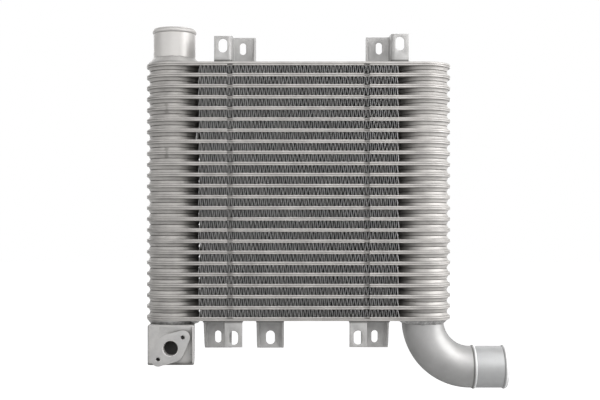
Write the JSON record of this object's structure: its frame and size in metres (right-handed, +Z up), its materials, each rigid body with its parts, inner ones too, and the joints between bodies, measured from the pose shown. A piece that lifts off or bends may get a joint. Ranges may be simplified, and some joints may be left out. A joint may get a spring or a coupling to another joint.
{
  "type": "intercooler",
  "caption": "Air-to-air charge cooler with a stacked-plate core, ribbed header columns, a straight inlet stub, an outlet elbow, a port box and slotted brackets.",
  "frame": {"origin": "middle of the core's front face, between the two header columns", "axes": "+X along the tubes towards the outlet, +Y from the front face into the core, +Z up along the headers towards the inlet stub's mouth"},
  "size_m": [0.431, 0.066, 0.4311],
  "materials": {
    "brazed_plate": "satin brazed plate",
    "fin_foil": "matt thin foil",
    "tube_alloy": "satin drawn tube",
    "cast_alloy": "fine sand-cast",
    "bracket_sheet": "plain rolled sheet"
  },
  "bodies": {
    "root": {"top_end_plate": "brazed_plate", "bottom_end_plate": "brazed_plate", "tube_01": "brazed_plate", "tube_02": "brazed_plate", "tube_03": "brazed_plate", "tube_04": "brazed_plate", "tube_05": "brazed_plate", "tube_06": "brazed_plate", "tube_07": "brazed_plate", "tube_08": "brazed_plate", "tube_09": "brazed_plate", "tube_10": "brazed_plate", "tube_11": "brazed_plate", "tube_12": "brazed_plate", "tube_13": "brazed_plate", "tube_14": "brazed_plate", "tube_15": "brazed_plate", "tube_16": "brazed_plate", "tube_17": "brazed_plate", "tube_18": "brazed_plate", "tube_19": "brazed_plate", "tube_20": "brazed_plate", "tube_21": "brazed_plate", "tube_22": "brazed_plate", "fin_01": "fin_foil", "fin_02": "fin_foil", "fin_03": "fin_foil", "fin_04": "fin_foil", "fin_05": "fin_foil", "fin_06": "fin_foil", "fin_07": "fin_foil", "fin_08": "fin_foil", "fin_09": "fin_foil", "fin_10": "fin_foil", "fin_11": "fin_foil", "fin_12": "fin_foil", "fin_13": "fin_foil", "fin_14": "fin_foil", "fin_15": "fin_foil", "fin_16": "fin_foil", "fin_17": "fin_foil", "fin_18": "fin_foil", "fin_19": "fin_foil", "fin_20": "fin_foil", "fin_21": "fin_foil", "fin_22": "fin_foil", "fin_23": "fin_foil", "inner_fins": "fin_foil", "inlet_stub": "tube_alloy", "outlet_elbow": "tube_alloy", "port_box": "cast_alloy", "top_left_bracket": "bracket_sheet", "top_right_bracket": "bracket_sheet", "bottom_left_bracket": "bracket_sheet", "bottom_middle_bracket": "bracket_sheet", "bottom_right_bracket": "bracket_sheet"}
  },
  "joints": []
}
